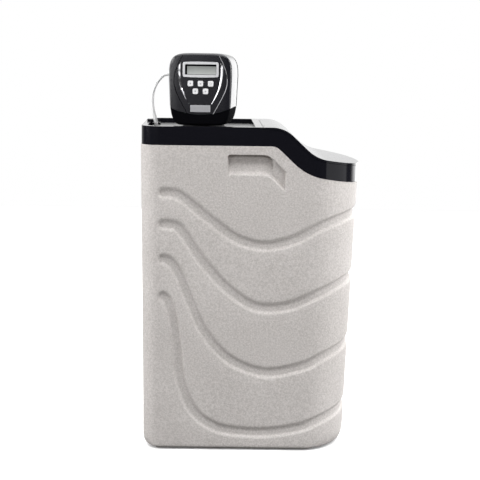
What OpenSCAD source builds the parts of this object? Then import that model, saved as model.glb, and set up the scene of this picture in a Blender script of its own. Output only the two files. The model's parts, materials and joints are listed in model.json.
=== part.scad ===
// Cabinet water softener: moulded brine cabinet, resin tank and electronic control valve.
// +Z is up, +X is the salt lid end, -Y is the wide side with the wave grooves.
// The origin lies on the floor under the middle of the scoop's wall. All sizes are in millimetres.

/* [Cabinet] */
// Length of the cabinet at its rim
cab_len = 518; // [470:1:580]
// Width of the cabinet at its rim
cab_wid = 340; // [320:1:400]
// Height of the flat rear deck above the floor
deck_z = 766; // [720:1:820]
// Wall of the moulded cabinet
wall = 5; // [4:0.5:7]
// Corner radius at the rear
rear_r = 45; // [30:1:60]
// Corner radius at the front
front_r = 115; // [90:1:130]
// Radius of the bowed front
bow_r = 300; // [260:5:400]
// How much each wall leans in towards the floor
draft = 9; // [4:0.5:12]
// How much further the front leans in, as a share of the length
front_lean = 0.026; // [0:0.002:0.03]
// Rounding along the bottom edge
foot_r = 11; // [8:1:30]

/* [Wave grooves] */
// Radius of the groove section
groove_r = 13; // [9:0.5:14]
// Depth of a groove below the wall face
groove_deep = 7.5; // [4:0.5:8]

/* [Hand holds] */
// Depth of each finger scoop
scoop_deep = 22; // [14:1:26]
// Height of each finger scoop
scoop_tall = 47; // [36:1:50]
// Half length of a finger scoop
scoop_half = 68; // [50:1:70]
// Middle of a finger scoop along the wide side
scoop_x = 12; // [0:1:14]

/* [Top cover and salt lid] */
// Height of the cover band round the cabinet
band_h = 43; // [36:1:48]
// Thickness of the cover walls
cover_t = 4; // [3:0.5:5]
// Depth of the recess that the valve stands in
recess_deep = 11; // [8:0.5:14]
// Width of the flat rim round the recess
rim_w = 14; // [8:1:16]
// Thickness of the salt lid
lid_t = 5; // [4.6:0.2:6]
// Place of the lid seam along the length
seam_x = 25; // [15:1:30]
// Where the lid starts to fall
fall_x = 45; // [40:1:50]
// Radius of the crest of the lid
crest_r = 70; // [62:1:80]
// Radius of the hollow of the lid
hollow_r = 90; // [70:1:110]
// Steepest angle of the lid
fall_a = 43; // [36:1:46]
// Slope of the lid towards its tip
tail_a = 9; // [5:0.5:12]
// Length of the steep straight stretch of the lid
fall_len = 47; // [30:1:55]
// Radius of the lid hinge pins
pin_r = 1.25; // [1:0.05:1.4]

/* [Resin tank] */
// Outside radius of the resin tank
tank_r = 127; // [115:1:127]
// Wall of the resin tank
tank_t = 3.5; // [2.5:0.5:5]
// Clearance between the tank and the rear rim of the cabinet
tank_gap = 17; // [16:1:20]
// Radius of the riser tube
riser_r = 13.3; // [12:0.1:14]
// Height of the top of the resin
resin_z = 430; // [300:5:520]

/* [Control valve] */
// How far the valve stands turned on the tank thread
head_turn = 4.5; // [0:0.5:8]
// Half width of the cover at its front
head_a = 73; // [70:1:76]
// Half width of the cover at its rear
head_b = 82.5; // [80:0.5:85]
// Height of the control cover
head_h = 163; // [158:1:168]
// Distance of the cover front from the tank axis
head_front = 100; // [96:1:104]
// Wall of the control cover
head_t = 2.5; // [2:0.5:3]
// Width of a push button
button_w = 12.4; // [12:0.1:15]
// Height of a push button
button_h = 12.8; // [12:0.1:15]
// Spacing of the push buttons
button_gap = 23.5; // [22:0.5:25]
// Outside radius of the water ports
port_r = 16.6; // [15:0.1:18]
// Bore radius of the water ports
port_bore = 12; // [10:0.5:12.5]

/* [Brine system] */
// Outside radius of the brine well
well_r = 45; // [38:1:48]
// Height of the brine well
well_h = 590; // [500:5:600]
// Outside radius of the brine tube
tube_r = 4.76; // [4:0.02:5]

/* [Hidden] */
$fn = 48;

half_w = cab_wid / 2;
middle_x = 3;
rear_x = middle_x - cab_len / 2;
tip_x = middle_x + cab_len / 2;
tank_x = rear_x + tank_r + tank_gap;
bow_x = tip_x - bow_r;
front_x = bow_x + sqrt(pow(bow_r - front_r, 2) - pow(half_w - front_r, 2));
bow_a = atan2(half_w - front_r, front_x - bow_x);
corner_a = 90 - bow_a;
rim_z = deck_z - band_h;
corner_len = front_r * corner_a * PI / 180;
nose_s = front_x + corner_len + bow_r * bow_a * PI / 180;
cover_in = 2;
floor_z = deck_z - recess_deep;
hinge_x = seam_x + lid_t / 2;
hinge_z = deck_z - lid_t / 2;
ear_y = 110;
ear_w = 14;
head_z = deck_z + 1;
head_mid = head_z + head_h / 2 + 3;
barrel_z = head_z + 68;
well_x = 82;
well_y = 90;
well_foot = wall + 0.3;
overflow_z = 565;
overflow_x = 70;
tan_draft = draft / deck_z;
m = 1.5;
main_teeth = 48;
pinion_teeth = 16;
main_r = m * main_teeth / 2;
pinion_r = m * pinion_teeth / 2;
gear_gap = main_r + pinion_r + 0.35;
gear_y = -46;
gear_w = 9;
port_x = 32;
port_z = head_z + 36;
nut_y0 = 66;
nut_y1 = 90;
port_y1 = 118;
elbow_y = 20;
elbow_z = barrel_z + 45;
board_y = -78;
but_z1 = head_z + 93.5;
but_z2 = head_z + 76;

// Wave knots: distance along the wall from the middle of the wide side, and height
WAVES = [
    [[-202, 615], [-184, 614], [-158, 606], [-93, 554], [-27, 509], [38, 494], [102, 509], [166, 541],
        [240, 560], [310, 565]],
    [[-202, 542], [-184, 541], [-160, 530], [-111, 460], [-58, 401], [0, 358], [45, 347], [106, 356],
        [171, 384], [245, 406], [310, 412]],
    [[-201, 461], [-187, 456], [-165, 430], [-135, 360], [-99, 285], [-39, 223], [27, 196], [61, 193],
        [126, 206], [192, 232], [255, 247], [310, 252]],
    [[-200, 373], [-189, 362], [-176, 325], [-165, 250], [-154, 165], [-124, 96], [-70, 57], [0, 46],
        [64, 47], [130, 58], [192, 78], [255, 91], [310, 95]]];

// Brine tube route, from the refill elbow down through the deck and across to the brine well
TUBE = [[tank_x - 72.7, 25.8, 880], [tank_x - 86, 26.8, 880], [-209.5, 27, 877], [-220, 26, 868], [-229.5, 25, 854],
    [-236, 23, 836], [-238, 22, 816], [-236, 21, 796], [-231, 21, 776], [-227, 22, 756], [-224, 28, 736], [-216, 42, 718],
    [-203, 64, 705], [-184, 88, 698], [-160, 108, 694], [-130, 121, 692], [-96, 127, 690], [-60, 127, 688],
    [-26, 122, 685], [6, 113, 682], [36, 103, 679], [60, 94.5, 673], [76, 90.8, 660], [well_x, well_y, 643],
    [well_x, well_y, 628]];

// General curves

function spline(p, i, t) =
    let (n = len(p) - 1)
    let (a = p[max(i - 1, 0)], b = p[i], c = p[min(i + 1, n)], d = p[min(i + 2, n)])
    0.5 * (2 * b + (c - a) * t + (2 * a - 5 * b + 4 * c - d) * t * t + (3 * b - a - 3 * c + d) * t * t * t);

function smooth(p, k) = concat(
    [for (i = [0 : len(p) - 2]) for (j = [0 : k - 1]) spline(p, i, j / k)],
    [p[len(p) - 1]]);

function unit(v) = v / norm(v);

// Plan outline of the cabinet at an inset from its rim

function plan(g) = concat(
    [for (i = [0 : 7]) let (a = 180 + 90 * i / 7)
        [rear_x + rear_r + (rear_r - g) * cos(a), rear_r - half_w + (rear_r - g) * sin(a)]],
    [for (i = [0 : 9]) let (a = -90 + corner_a * i / 9)
        [front_x + (front_r - g) * cos(a), front_r - half_w + (front_r - g) * sin(a)]],
    [for (i = [1 : 5]) let (a = -bow_a + 2 * bow_a * i / 6)
        [bow_x + (bow_r - g) * cos(a), (bow_r - g) * sin(a)]],
    [for (i = [0 : 9]) let (a = bow_a + corner_a * i / 9)
        [front_x + (front_r - g) * cos(a), half_w - front_r + (front_r - g) * sin(a)]],
    [for (i = [0 : 7]) let (a = 90 + 90 * i / 7)
        [rear_x + rear_r + (rear_r - g) * cos(a), half_w - rear_r + (rear_r - g) * sin(a)]]);

function lean(z) = draft * (1 - z / deck_z);
function shrink(x, z) = rear_x + (x - rear_x) * (1 - front_lean * (1 - z / deck_z));

// Point and outward direction on the wall, at distance s along it and height z
function wall_dir(s) =
    let (q = s > nose_s ? 2 * nose_s - s : s, f = s > nose_s ? -1 : 1)
    q <= front_x ? [0, -f, 0]
    : let (a = q <= front_x + corner_len ? (q - front_x) / front_r * 180 / PI
        : corner_a + (q - front_x - corner_len) / bow_r * 180 / PI)
      [sin(a), -f * cos(a), 0];
function wall_at(s, z) =
    let (q = s > nose_s ? 2 * nose_s - s : s, f = s > nose_s ? -1 : 1, d = wall_dir(s), g = lean(z))
    q <= front_x ? [shrink(q, z), -f * (half_w - g), z]
    : q <= front_x + corner_len
    ? [shrink(front_x + (front_r - g) * d[0], z), f * (front_r - half_w) + (front_r - g) * d[1], z]
    : [shrink(bow_x + (bow_r - g) * d[0], z), (bow_r - g) * d[1], z];

// Solid between plan outlines, each row being a height and an inset

module loft(rows) {
    n = len(plan(0));
    k = len(rows);
    pts = [for (r = rows) for (p = plan(r[1] + lean(r[0]))) [shrink(p[0], r[0]), p[1], r[0]]];
    polyhedron(pts, concat(
        [[for (i = [0 : n - 1]) i]],
        [for (j = [0 : k - 2]) for (i = [0 : n - 1]) [j * n + i, (j + 1) * n + i, j * n + (i + 1) % n]],
        [for (j = [0 : k - 2]) for (i = [0 : n - 1])
            [j * n + (i + 1) % n, (j + 1) * n + i, (j + 1) * n + (i + 1) % n]],
        [[for (i = [n - 1 : -1 : 0]) (k - 1) * n + i]]), convexity = 6);
}

module prism(g, z0, z1) {
    translate([0, 0, z0])
        linear_extrude(z1 - z0)
            polygon(plan(g));
}

// Tube along points, each ring standing on the directions a and b

module tube_solid(rings) {
    k = len(rings);
    n = len(rings[0]);
    polyhedron([for (r = rings) for (p = r) p], concat(
        [[for (i = [0 : n - 1]) i]],
        [for (j = [0 : k - 2]) for (i = [0 : n - 1]) [j * n + i, (j + 1) * n + i, j * n + (i + 1) % n]],
        [for (j = [0 : k - 2]) for (i = [0 : n - 1])
            [j * n + (i + 1) % n, (j + 1) * n + i, (j + 1) * n + (i + 1) % n]],
        [[for (i = [n - 1 : -1 : 0]) (k - 1) * n + i]]), convexity = 8);
}

// One wave groove, run round the front from one wide side to the other

module groove(w, r, k, n) {
    half = smooth(w, k);
    back = [for (i = [len(half) - 1 : -1 : 0]) [2 * nose_s - half[i][0], half[i][1]]];
    path = concat(half, back);
    last = len(path) - 1;
    c = [for (q = path) wall_at(q[0], q[1]) + wall_dir(q[0]) * (groove_r - groove_deep)];
    tube_solid([for (i = [0 : last])
        let (t = unit(c[min(i + 1, last)] - c[max(i - 1, 0)]))
        let (a = wall_dir(path[i][0]))
        let (b = unit(cross(t, a)))
        let (e = min(i, last - i))
        let (f = e == 0 ? 0.75 : e == 1 ? 0.94 : 1)
        [for (j = [0 : n - 1]) let (u = 360 * (j + 0.5) / n) c[i] + f * r * (a * cos(u) + b * sin(u))]]);
}

// Lid curve at a depth below the lid face

function lid_curve(o) =
    let (x1 = fall_x + crest_r * sin(fall_a), z1 = deck_z - crest_r * (1 - cos(fall_a)))
    let (x2 = x1 + fall_len * cos(fall_a), z2 = z1 - fall_len * sin(fall_a))
    let (cx = x2 + hollow_r * sin(fall_a), cz = z2 + hollow_r * cos(fall_a))
    let (ex = cx - (hollow_r + o) * sin(tail_a), ez = cz - (hollow_r + o) * cos(tail_a))
    concat(
        [for (i = [0 : 9]) let (a = fall_a * i / 9)
            [fall_x + (crest_r - o) * sin(a), deck_z - crest_r + (crest_r - o) * cos(a)]],
        [for (i = [0 : 9]) let (a = fall_a + (tail_a - fall_a) * i / 9)
            [cx - (hollow_r + o) * sin(a), cz - (hollow_r + o) * cos(a)]],
        [[tip_x + 20, ez - (tip_x + 20 - ex) * tan(tail_a)]]);

// Side view of everything between two depths below the lid face

module side_strip(o1, o2, x0) {
    rotate([90, 0, 0])
        linear_extrude(cab_wid + 40, center = true)
            polygon(concat([[x0, deck_z - o1]], lid_curve(o1),
                [for (i = [20 : -1 : 0]) lid_curve(o2)[i]], [[x0, deck_z - o2]]));
}

// Everything above the lid curve taken down to a depth

module above_strip(o) {
    rotate([90, 0, 0])
        linear_extrude(cab_wid + 40, center = true)
            polygon(concat([[rear_x - 20, deck_z - o]], lid_curve(o),
                [[tip_x + 20, deck_z + 60], [rear_x - 20, deck_z + 60]]));
}

// Finger scoop on the near side: deep below its top edge, running out at its bottom edge

function scoop_top(x) =
    let (t = max(x - scoop_x - 16, 0))
    deck_z - band_h - 19 - 0.95 * (t < 24 ? t * t / 48 : t - 12);

module scoop_cut(x, deep, grow) {
    z1 = scoop_top(x) + grow;
    z0 = scoop_top(x) - scoop_tall - grow;
    translate([x, 0, 0])
        rotate([90, 0, 90])
            linear_extrude(0.01)
                polygon([[-half_w - 3, z1], [lean(z1) - half_w + deep, z1 - 2],
                    [lean(z1) - half_w + deep, z1 - 10], [lean(z0) - half_w - 0.5, z0], [-half_w - 3, z0]]);
}

module scoop(deep, grow) {
    x0 = scoop_x - scoop_half - grow;
    x1 = scoop_x + scoop_half + grow;
    n = 9;
    for (i = [0 : n - 1])
        hull() {
            scoop_cut(x0 + (x1 - x0) * i / n, deep * (i == 0 ? 0.8 : 1), grow);
            scoop_cut(x0 + (x1 - x0) * (i + 1) / n, deep * (i == n - 1 ? 0.8 : 1), grow);
        }
}

// Cabinet

module cabinet_shell() {
    color([0.74, 0.72, 0.7])
        difference() {
            loft([[0, foot_r], [foot_r * 0.08, foot_r * 0.62], [foot_r * 0.29, foot_r * 0.29],
                [foot_r * 0.62, foot_r * 0.08], [foot_r, 0], [deck_z, 0]]);
            difference() {
                loft([[wall, wall + foot_r * 0.8], [wall + foot_r * 0.3, wall + foot_r * 0.2],
                    [wall + foot_r, wall], [deck_z + 1, wall]]);
                for (w = WAVES)
                    groove(w, groove_r + wall + 1, 2, 5);
                scoop(scoop_deep + wall - 1, wall);
                mirror([0, 1, 0])
                    scoop(scoop_deep + wall - 1, wall);
            }
            for (w = WAVES)
                groove(w, groove_r, 3, 7);
            scoop(scoop_deep, 0);
            mirror([0, 1, 0])
                scoop(scoop_deep, 0);
            above_strip(band_h + 0.3);
            translate([overflow_x, half_w, overflow_z])
                rotate([90, 0, 0])
                    cylinder(r = 11, h = 60, center = true);
        }
}

// Top cover: band round the rim, recessed rear deck and cross bar behind the lid

module top_cover() {
    color([0.09, 0.09, 0.11])
        difference() {
            union() {
                intersection() {
                    difference() {
                        prism(cover_in, rim_z - 150, deck_z);
                        prism(cover_in + cover_t, rim_z - 160, deck_z + 1);
                    }
                    union() {
                        side_strip(lid_t + 0.6, band_h, rear_x - 20);
                        translate([rear_x - 20, -cab_wid, rim_z])
                            cube([seam_x - 1 - rear_x + 20, 2 * cab_wid, band_h]);
                    }
                }
                intersection() {
                    difference() {
                        prism(cover_in + 1, rim_z - 150, deck_z);
                        prism(wall + 7.4, rim_z - 160, deck_z + 1);
                    }
                    side_strip(band_h - 4, band_h, rear_x - 20);
                }
                intersection() {
                    difference() {
                        prism(wall + 4.6, rim_z - 150, deck_z);
                        prism(wall + 7.4, rim_z - 160, deck_z + 1);
                    }
                    side_strip(band_h - 2, band_h + 11, rear_x - 20);
                }
                intersection() {
                    prism(cover_in + 1, floor_z - 3, floor_z);
                    translate([rear_x - 1, -cab_wid, floor_z - 5])
                        cube([seam_x - 16 - rear_x, 2 * cab_wid, 10]);
                }
                intersection() {
                    difference() {
                        prism(cover_in + 1, floor_z - 1, deck_z);
                        prism(cover_in + rim_w, floor_z - 2, deck_z + 1);
                        difference() {
                            prism(cover_in + cover_t - 1, floor_z - 2, deck_z - 3);
                            prism(cover_in + rim_w - 3, floor_z - 3, deck_z);
                        }
                    }
                    translate([rear_x - 1, -cab_wid, floor_z - 5])
                        cube([seam_x - 16 - rear_x, 2 * cab_wid, recess_deep + 10]);
                }
                translate([TUBE[9][0], TUBE[9][1], 0]) {
                    translate([-22, -6, floor_z - 1])
                        cube([13, 12, recess_deep + 6]);
                    translate([0, 0, floor_z + 2])
                        cylinder(r = 10.5, h = 6);
                }
                intersection() {
                    prism(cover_in + 1, rim_z + 12, deck_z);
                    union() {
                        translate([seam_x - 18, -cab_wid, floor_z - 3])
                            cube([3, 2 * cab_wid, recess_deep + 3]);
                        translate([seam_x - 18, -cab_wid, deck_z - 3])
                            cube([17, 2 * cab_wid, 3]);
                        translate([seam_x - 4, -cab_wid, rim_z + 12])
                            cube([3, 2 * cab_wid, band_h - 12]);
                    }
                }
                for (s = [-1, 1])
                    translate([0, s * ear_y - ear_w / 2, 0]) {
                        translate([hinge_x, 0, hinge_z])
                            rotate([-90, 0, 0])
                                cylinder(r = lid_t / 2, h = ear_w);
                        translate([seam_x - 2, 0, hinge_z - 9])
                            cube([hinge_x - seam_x + 2, ear_w, 9]);
                    }
            }
            translate([tank_x, 0, floor_z - 10])
                cylinder(r = 58, h = 20);
            translate([TUBE[9][0], TUBE[9][1], floor_z - 10]) {
                cylinder(r = 8, h = 40);
                translate([-5, -20, 11])
                    cube([10, 20, 20]);
            }
            translate([hinge_x, 0, hinge_z])
                rotate([90, 0, 0])
                    cylinder(r = pin_r, h = 2 * ear_y + ear_w + 4, center = true);
            for (s = [-1, 1])
                translate([hinge_x, s * half_w - 10, hinge_z])
                    rotate([-90, 0, 0])
                        cylinder(r = lid_t / 2 + 0.6, h = 20);
        }
}

// Salt lid: one curved panel with a rounded rear edge that turns on two pins

module salt_lid() {
    color([0.1, 0.1, 0.12])
        difference() {
            union() {
                intersection() {
                    side_strip(0, lid_t, hinge_x);
                    prism(cover_in - 0.5, rim_z - 150, deck_z + 1);
                }
                intersection() {
                    translate([hinge_x, 0, hinge_z])
                        rotate([90, 0, 0])
                            cylinder(r = lid_t / 2, h = cab_wid + 10, center = true);
                    prism(cover_in - 0.5, rim_z - 150, deck_z + 1);
                }
                for (s = [-1, 1])
                    intersection() {
                        side_strip(lid_t - 1, lid_t + 10, fall_x - 4);
                        translate([0, s * (half_w - cover_in - cover_t - 5) - 1.25, rim_z - 100])
                            cube([front_x, 2.5, 200]);
                    }
            }
            for (s = [-1, 1]) {
                translate([hinge_x, s * ear_y, hinge_z])
                    rotate([90, 0, 0])
                        cylinder(r = lid_t / 2 + 0.6, h = ear_w + 0.8, center = true);
                translate([hinge_x, s * ear_y, hinge_z])
                    rotate([90, 0, 0])
                        cylinder(r = pin_r + 0.05, h = ear_w + 24, center = true);
            }
        }
}

module lid_pin(y) {
    color([0.75, 0.76, 0.78])
        translate([hinge_x, y, hinge_z])
            rotate([90, 0, 0])
                cylinder(r = pin_r, h = ear_w + 22, center = true);
}
module lid_pin_near() { lid_pin(-ear_y); }
module lid_pin_far() { lid_pin(ear_y); }

// Resin tank

tank_z0 = wall + 9;
tank_z1 = floor_z - 12;
dome = 62;
foot_out = tank_r - 19;
foot_in = tank_r - 26;
foot_h = tank_z0 + dome - dome * sqrt(1 - pow(foot_in / tank_r, 2)) - wall - 0.4;
neck_r = 41;

function tank_side(g) = concat(
    [for (i = [0 : 10]) let (a = -90 + 9 * i)
        [(tank_r - g) * cos(a), tank_z0 + dome + (dome - g) * sin(a)]],
    [for (i = [0 : 7]) let (a = 9.5 * i)
        [(tank_r - g) * cos(a), tank_z1 - 40 - dome + (dome - g) * sin(a)]]);

module resin_tank() {
    color([0.2, 0.24, 0.3])
        translate([tank_x, 0, 0])
            rotate_extrude()
                difference() {
                    polygon(concat(tank_side(0), [[neck_r, tank_z1 - 34], [neck_r, tank_z1], [0, tank_z1]]));
                    polygon(concat(tank_side(tank_t), [[neck_r - 5, tank_z1 - 34], [neck_r - 5, tank_z1 + 1],
                        [0, tank_z1 + 1]]));
                }
}

module tank_foot() {
    color([0.1, 0.1, 0.1])
        translate([tank_x, 0, wall + 0.1])
            difference() {
                cylinder(r = foot_out, h = foot_h);
                translate([0, 0, -1])
                    cylinder(r = foot_in, h = foot_h + 2);
                for (a = [0 : 60 : 300])
                    rotate([0, 0, a])
                        translate([foot_in - 10, -14, -1])
                            cube([30, 28, 14]);
            }
}

module resin_bed() {
    color([0.6, 0.4, 0.2])
        translate([tank_x, 0, 0])
            difference() {
                rotate_extrude()
                    polygon(concat([for (i = [0 : 10]) tank_side(tank_t + 0.4)[i]],
                        [[tank_r - tank_t - 0.4, resin_z], [0, resin_z]]));
                cylinder(r = riser_r + 0.5, h = resin_z + 1);
                translate([0, 0, tank_z0])
                    cylinder(r = 25, h = 72);
            }
}

module riser_tube() {
    color([0.85, 0.85, 0.82])
        translate([tank_x, 0, tank_z0 + 42])
            difference() {
                cylinder(r = riser_r, h = tank_z1 + 14 - tank_z0 - 42);
                translate([0, 0, -1])
                    cylinder(r = riser_r - 2.2, h = tank_z1);
            }
}

module strainer(h) {
    difference() {
        union() {
            cylinder(r = 24, h = h);
            translate([0, 0, h - 0.5])
                cylinder(r = riser_r + 3, h = 14);
        }
        translate([0, 0, 2.5])
            cylinder(r = 21.5, h = h - 5);
        translate([0, 0, 2])
            cylinder(r = riser_r + 0.1, h = h + 20);
        for (i = [0 : 5])
            translate([0, 0, 5 + i * (h - 8) / 6])
                for (a = [0 : 45 : 135])
                    rotate([0, 0, a])
                        translate([-30, -5, 0])
                            cube([60, 10, 1.2]);
    }
}

module lower_strainer() {
    color([0.9, 0.88, 0.8])
        translate([tank_x, 0, tank_z0 + tank_t + 3])
            strainer(40);
}

module upper_strainer() {
    color([0.9, 0.88, 0.8])
        translate([tank_x, 0, tank_z1 - 56])
            difference() {
                union() {
                    cylinder(r = 26, h = 40);
                    translate([0, 0, 40])
                        cylinder(r = 22, h = 24.8);
                }
                translate([0, 0, -1])
                    cylinder(r = riser_r + 0.4, h = 90);
                translate([0, 0, 3])
                    cylinder(r = 23, h = 34);
                for (i = [0 : 5])
                    translate([0, 0, 6 + 5 * i])
                        for (a = [0 : 45 : 135])
                            rotate([0, 0, a])
                                translate([-30, -6, 0])
                                    cube([60, 12, 1.2]);
            }
}

// Control valve, drawn about the tank axis and then turned on the tank thread

module at_head() {
    translate([tank_x, 0, 0])
        rotate([0, 0, -head_turn])
            children();
}

module along_y(x, y, z) {
    translate([x, y, z])
        rotate([-90, 0, 0])
            children();
}

module valve_body() {
    color([0.12, 0.12, 0.13])
        at_head()
            difference() {
                union() {
                    translate([0, 0, tank_z1 + 0.2])
                        cylinder(r = 41, h = head_z + 8 - tank_z1);
                    translate([0, 0, tank_z1 + 0.2])
                        cylinder(r = 30, h = head_z + 38 - tank_z1);
                    translate([0, 0, tank_z1 + 0.2])
                        cylinder(r = 19.8, h = barrel_z - tank_z1);
                    translate([0, 0, tank_z1 - 20])
                        cylinder(r = 50, h = 38);
                    along_y(0, -20, barrel_z)
                        cylinder(r = 27, h = 76);
                    for (s = [-1, 1])
                        union() {
                            along_y(s * port_x, 10, port_z)
                                cylinder(r = port_r - 0.6, h = port_y1 - 11);
                            along_y(s * port_x, nut_y1 + 1, port_z)
                                cylinder(r = port_r, h = port_y1 - nut_y1 - 1);
                        }
                    translate([20, 6, barrel_z - 16])
                        rotate([0, 90, 0])
                            cylinder(r = 14, h = 36);
                    translate([-56, 8, barrel_z])
                        cube([36, 24, 57]);
                    translate([6, 20, barrel_z + 10])
                        cube([24, 24, 30]);
                }
                translate([0, 0, tank_z1 - 21])
                    cylinder(r = neck_r + 0.2, h = 21.2);
                translate([0, 0, tank_z1 - 1])
                    cylinder(r = 34, h = 10);
                translate([0, 0, tank_z1 - 1])
                    cylinder(r = 40.2, h = 5.3);
                translate([0, 0, tank_z1])
                    cylinder(r = riser_r + 0.3, h = 15);
                along_y(0, -21, barrel_z)
                    cylinder(r = 21, h = 70);
                for (s = [-1, 1])
                    along_y(s * port_x, 60, port_z)
                        cylinder(r = port_bore, h = port_y1);
                translate([24, 6, barrel_z - 16])
                    rotate([0, 90, 0])
                        cylinder(r = 9, h = 60);
                translate([-57, elbow_y, elbow_z])
                    rotate([0, 90, 0])
                        cylinder(r = 7, h = 20);
                translate([18, 32, barrel_z + 24])
                    cylinder(r = 8, h = 30);
            }
}

module neck_seal() {
    color([0.05, 0.05, 0.05])
        translate([tank_x, 0, tank_z1 + 2.2])
            rotate_extrude()
                translate([38, 0])
                    circle(r = 1.9);
}

module drive_bracket() {
    color([0.15, 0.15, 0.16])
        at_head()
            difference() {
                union() {
                    intersection() {
                        translate([-100, -24.3, head_z + 1])
                            cube([200, 4, head_h]);
                        cover_solid(head_t + 1.1);
                    }
                    for (s = [-1, 1])
                        for (z = [head_z + 22, head_z + 134])
                            along_y(s * 56, board_y + 1.6, z)
                                cylinder(r = 4, h = -22 - board_y - 1.6);
                }
                along_y(0, -30, barrel_z)
                    cylinder(r = 27.3, h = 20);
                along_y(0, -30, barrel_z + gear_gap)
                    cylinder(r = 5, h = 20);
                translate([-44, -30, head_z - 5])
                    cube([88, 20, 67]);
                for (s = [-1, 1])
                    for (z = [head_z + 22, head_z + 134])
                        along_y(s * 56, board_y, z)
                            cylinder(r = 1.55, h = 14);
            }
}

// Outline of the control cover: a rounded, slightly bowed shape

function bowed(a, b, n) = [for (i = [0 : n - 1])
    let (t = 360 * (i + 0.5) / n, c = cos(t), s = sin(t), e = s > 0 ? 0.4 : 0.22)
    let (h = s > 0 ? b - 3 : b + 6.5, z = h * sign(s) * pow(abs(s), e))
    [a * sign(c) * pow(abs(c), e) * (z < 0 ? 1 - 0.13 * pow(z / h, 2) : 1), z]];

module cover_solid(g) {
    b = head_h / 2;
    f = head_front - g;
    rows = [[-f, head_a - 5.5 - g, b - 5.5 - g], [-f + 0.7, head_a - 3 - g, b - 3 - g],
        [-f + 2.6, head_a - 1 - g, b - 1 - g], [-f + 6, head_a - g, b - g],
        [-50, (head_a + head_b) / 2 + 2 - g, b - g], [g > 0 ? -20 : -22, head_b - g, b - 1 - g]];
    tube_solid([for (r = rows) [for (p = bowed(r[1], r[2], 44)) [-p[0], r[0], head_mid + p[1]]]]);
}

// Region above the curved seam at the bottom of the fascia

module fascia_zone(gap) {
    rotate([90, 0, 0])
        linear_extrude(300, center = true)
            difference() {
                translate([-150, head_z])
                    square([300, 300]);
                difference() {
                    translate([-150, head_z - 50])
                        square([300, 90]);
                    translate([0, head_z + 22 + 170 + gap])
                        circle(r = 170, $fn = 120);
                }
            }
}

// Right halves of the shield round the keypad and of the line outside it, above the head's foot
SHIELD = [[0, 147], [28, 145], [44, 141.5], [50, 134], [50.6, 122], [49.6, 108], [46.5, 91], [37.4, 68], [26.8, 48],
    [22, 44.5], [0, 44.5]];
LINE = [[43.3, 157], [51, 141.6], [58.8, 122], [62.3, 106.7], [61.7, 91], [54.9, 69.8], [45.2, 50.4], [37.4, 35.9],
    [30.7, 24]];

function whole(p) = concat(p, [for (i = [len(p) - 1 : -1 : 0]) if (p[i][0] > 0) [-p[i][0], p[i][1]]]);

module cut_shape(points, y0, y1) {
    translate([0, y1, head_z])
        rotate([90, 0, 0])
            linear_extrude(y1 - y0)
                polygon(points);
}

module rounded_plate(w, h, r, t) {
    linear_extrude(t)
        union() {
            square([w - 2 * r, h], center = true);
            square([w, h - 2 * r], center = true);
            for (x = [-1, 1])
                for (z = [-1, 1])
                    translate([x * (w / 2 - r), z * (h / 2 - r)])
                        circle(r = r);
        }
}

module face_plate(x, z, w, h, r, y0, y1) {
    translate([x, y1, z])
        rotate([90, 0, 0])
            rounded_plate(w, h, r, y1 - y0);
}

lcd_z = head_z + 125.5;
plate_z = head_z + 36;
BUTTONS = [[-button_gap, but_z1], [0, but_z1], [button_gap, but_z1], [-button_gap / 2, but_z2],
    [button_gap / 2, but_z2]];

module front_cover() {
    color([0.08, 0.08, 0.1])
        at_head()
            difference() {
                intersection() {
                    cover_solid(0);
                    fascia_zone(0.3);
                }
                cover_solid(head_t);
                cut_shape(whole(smooth(SHIELD, 4)), -head_front - 1, 0.8 - head_front);
                for (s = [-1, 1])
                    cut_shape(concat([for (p = smooth(LINE, 4)) [s * p[0], p[1]]],
                        [for (i = [4 * len(LINE) - 4 : -1 : 0]) let (p = smooth(LINE, 4)[i]) [s * (p[0] - 1.4), p[1]]]),
                        -head_front - 1, 0.7 - head_front);
                face_plate(0, lcd_z, 80, 32, 5, -head_front - 1, head_t + 1 - head_front);
                face_plate(0, plate_z, 46.9, 16.4, 2.2, -head_front - 1, 0.9 - head_front);
                for (b = BUTTONS)
                    face_plate(b[0], b[1], button_w + 0.6, button_h + 0.6, 3.3, -head_front - 1,
                        head_t + 1 - head_front);
            }
}

module lower_housing() {
    color([0.06, 0.06, 0.065])
        at_head()
            difference() {
                cover_solid(0.8);
                cover_solid(head_t + 0.8);
                fascia_zone(-0.3);
                translate([0, 0, head_z - 8])
                    cylinder(r = 43, h = 20);
            }
}

module lcd_bezel() {
    color([0.8, 0.81, 0.82])
        at_head()
            difference() {
                union() {
                    intersection() {
                        face_plate(0, lcd_z, 83, 36.4, 6, -head_front - 1.8, 0.8 - head_front);
                        along_y(0, -head_front - 3, lcd_z - 682)
                            cylinder(r = 700, h = 6, $fn = 360);
                        along_y(0, -head_front - 3, lcd_z + 682)
                            cylinder(r = 700, h = 6, $fn = 360);
                    }
                    face_plate(0, lcd_z, 79.4, 31.4, 4.7, -head_front, head_t + 1 - head_front);
                }
                face_plate(0, lcd_z, 73, 24, 2.5, -head_front - 3, head_t + 2 - head_front);
            }
}

module lcd_screen() {
    color([0.6, 0.64, 0.58])
        at_head()
            face_plate(0, lcd_z, 72.6, 23.6, 2.3, 1.7 - head_front, head_t + 1 - head_front);
}

module nameplate() {
    color([0.75, 0.76, 0.78])
        at_head()
            face_plate(0, plate_z, 46.5, 16, 2, -head_front - 0.7, 0.8 - head_front);
}

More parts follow.
